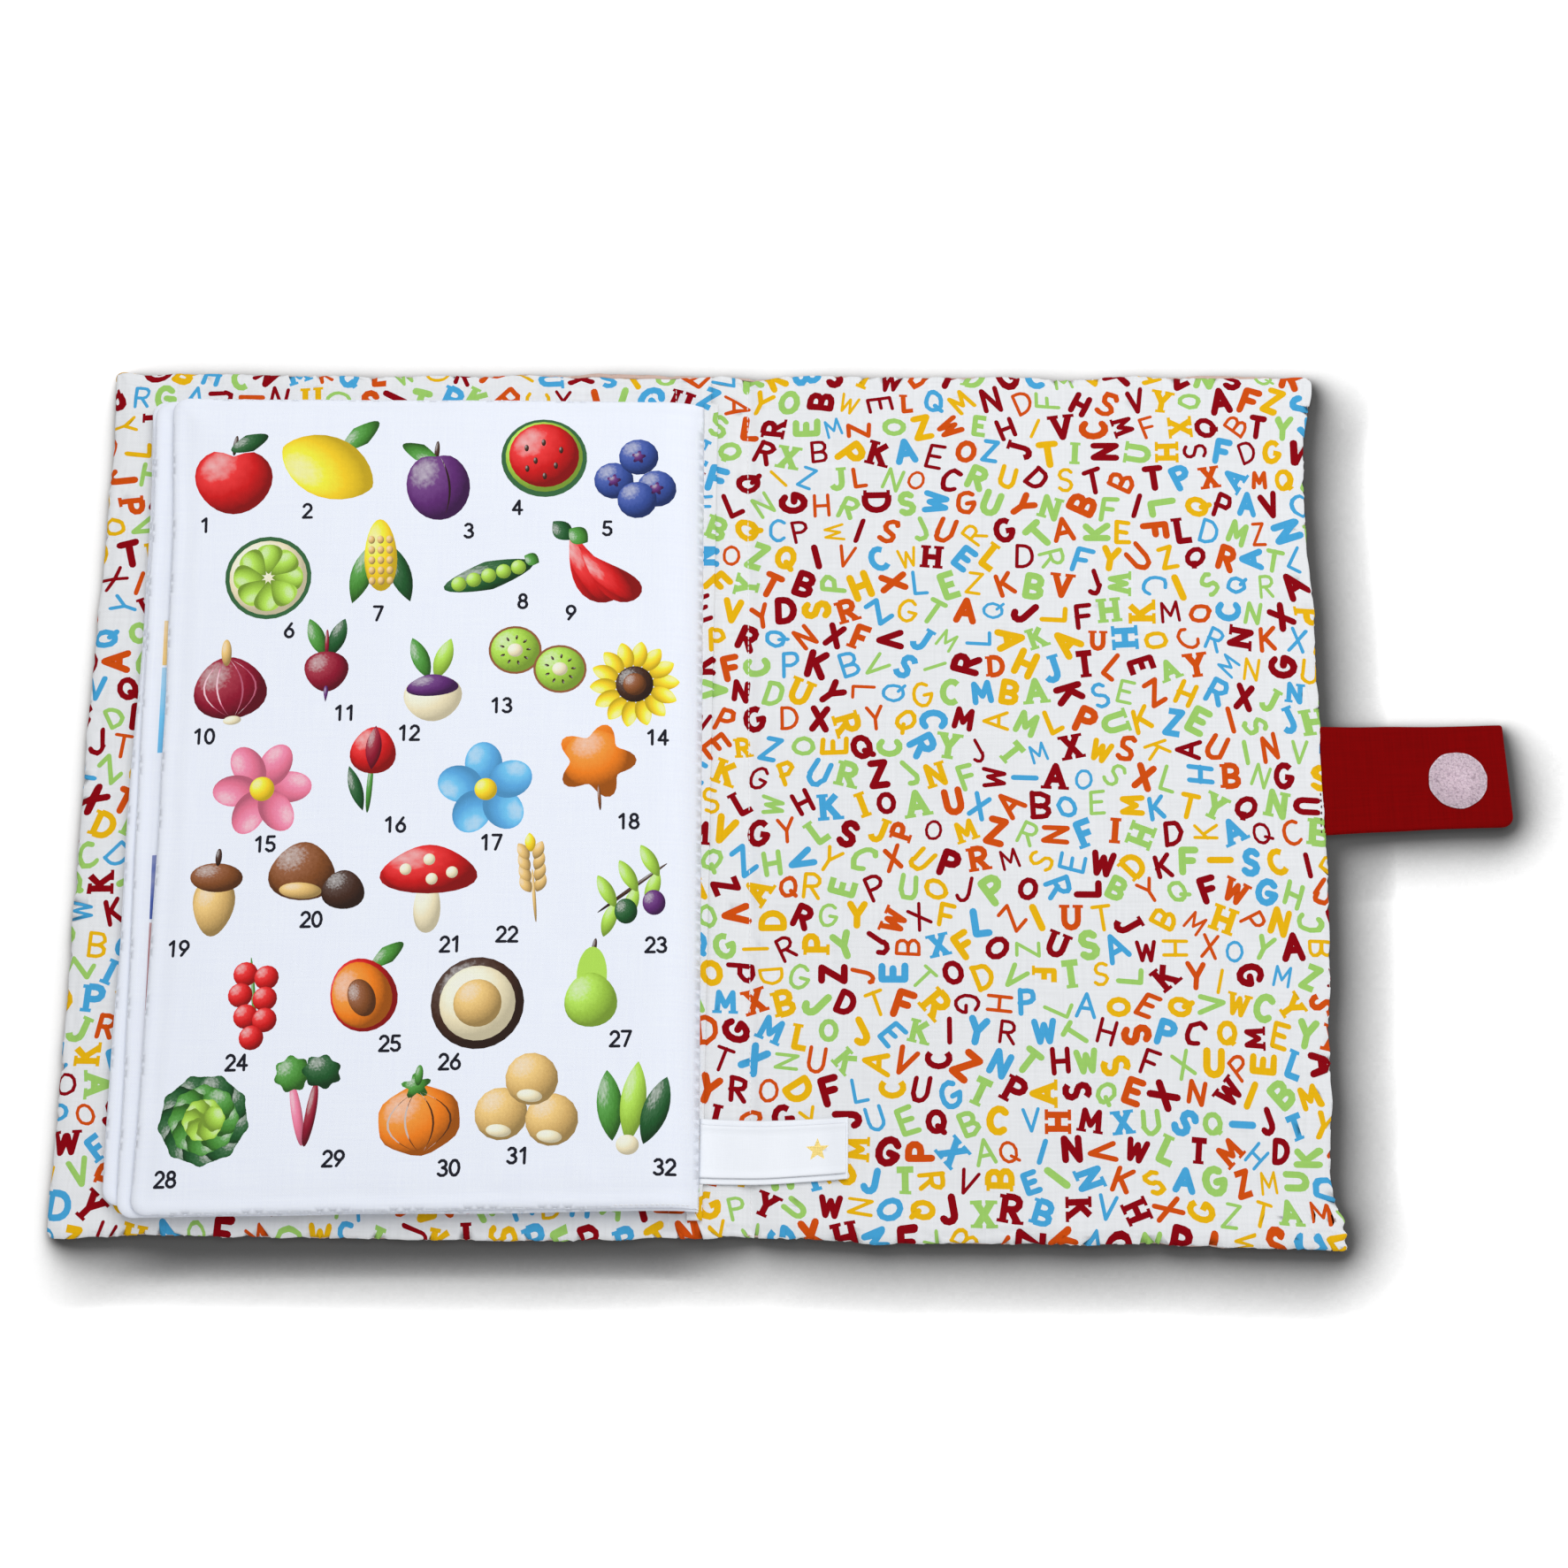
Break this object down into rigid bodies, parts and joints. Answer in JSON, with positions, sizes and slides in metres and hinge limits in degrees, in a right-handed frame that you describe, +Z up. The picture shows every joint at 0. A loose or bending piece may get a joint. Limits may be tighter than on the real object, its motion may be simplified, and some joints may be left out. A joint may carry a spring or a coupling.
{
  "type": "cloth picture book",
  "caption": "Padded cloth picture book lying open: padded cover with stitched creases, turning cloth leaves, ribbon labels and a red closing tab with fastener discs.",
  "frame": {"origin": "middle of the spine's outer face, on the surface that the open book lies on", "axes": "+X from the front cover to the back cover, +Y to the head of the book, +Z up out of the open pages"},
  "size_m": [0.4849, 0.309, 0.0154],
  "materials": {
    "outer_cotton": "plain woven dusty beige cotton",
    "lining_cotton": "plain woven white cotton with a scattered letter print",
    "page_cotton": "plain woven bluish white cotton with printed pictures",
    "polyester_wadding": "fluffy needled wadding",
    "binding_tape": "flat woven cotton tape",
    "satin_ribbon": "smooth shiny satin ribbon",
    "red_cotton": "deep red plain woven cotton",
    "loop_pile": "fuzzy loop pile of a touch fastener",
    "hook_tape": "short stiff hooks of a touch fastener"
  },
  "bodies": {
    "spine": {"spine_outer_cloth": "outer_cotton", "spine_wadding": "polyester_wadding", "spine_lining": "lining_cotton", "binding_strip": "binding_tape", "brand_label_root": "satin_ribbon", "care_label_root": "satin_ribbon"},
    "front_cover": {"front_outer_cloth": "outer_cotton", "front_wadding": "polyester_wadding", "front_lining": "lining_cotton", "front_hook_disc": "hook_tape"},
    "back_cover": {"back_outer_cloth": "outer_cotton", "back_wadding": "polyester_wadding", "back_lining": "lining_cotton", "brand_label_tail": "satin_ribbon", "care_label_tail": "satin_ribbon"},
    "leaf_1": {"leaf_1_recto_cloth": "page_cotton", "leaf_1_wadding": "polyester_wadding", "leaf_1_verso_cloth": "page_cotton"},
    "leaf_2": {"leaf_2_recto_cloth": "page_cotton", "leaf_2_wadding": "polyester_wadding", "leaf_2_verso_cloth": "page_cotton"},
    "leaf_3": {"leaf_3_recto_cloth": "page_cotton", "leaf_3_wadding": "polyester_wadding", "leaf_3_verso_cloth": "page_cotton"},
    "leaf_4": {"leaf_4_recto_cloth": "page_cotton", "leaf_4_wadding": "polyester_wadding", "leaf_4_verso_cloth": "page_cotton"},
    "tab_root": {"tab_root_upper_cloth": "red_cotton", "tab_root_lower_cloth": "red_cotton"},
    "tab_flap": {"tab_flap_upper_cloth": "red_cotton", "tab_flap_lower_cloth": "red_cotton", "tab_loop_disc": "loop_pile"}
  },
  "joints": [
    {"name": "front_cover_hinge", "type": "hinge", "parent": "spine", "child": "front_cover", "pos_m": [-0.013, 0, 0.0023], "axis": [0, -1, 0], "range_deg": [-91.3, 0]},
    {"name": "back_cover_hinge", "type": "hinge", "parent": "spine", "child": "back_cover", "pos_m": [0.013, 0, 0.0023], "axis": [0, 1, 0], "range_deg": [-91.3, 90]},
    {"name": "leaf_block_hinge", "type": "hinge", "parent": "spine", "child": "leaf_1", "pos_m": [-0.00373, 0, 0.00643], "axis": [0, -1, 0], "range_deg": [-90, 0]},
    {"name": "leaf_4_turn", "type": "hinge", "parent": "leaf_1", "child": "leaf_4", "pos_m": [0, 0, 0.01075], "axis": [0, 1, 0], "range_deg": [0, 180]},
    {"name": "leaf_3_turn", "type": "hinge", "parent": "leaf_1", "child": "leaf_3", "pos_m": [0, 0, 0.01075], "axis": [0, 1, 0], "range_deg": [0, 180]},
    {"name": "leaf_2_turn", "type": "hinge", "parent": "leaf_1", "child": "leaf_2", "pos_m": [0, 0, 0.01075], "axis": [0, 1, 0], "range_deg": [0, 180]},
    {"name": "tab_root_hinge", "type": "hinge", "parent": "back_cover", "child": "tab_root", "pos_m": [0.211, 0.0055, 0.0023], "axis": [0, 1, 0], "range_deg": [-85.7, 90]},
    {"name": "tab_flap_hinge", "type": "hinge", "parent": "tab_root", "child": "tab_flap", "pos_m": [0.2327, 0.0055, 0.0023], "axis": [0, 1, 0], "range_deg": [-91.7, 90]}
  ],
  "couplings": [
    {"joint": "leaf_block_hinge", "follows": "front_cover_hinge", "ratio": 0.9857},
    {"joint": "leaf_3_turn", "follows": "leaf_4_turn", "ratio": 0.6667},
    {"joint": "leaf_2_turn", "follows": "leaf_4_turn", "ratio": 0.3333}
  ]
}
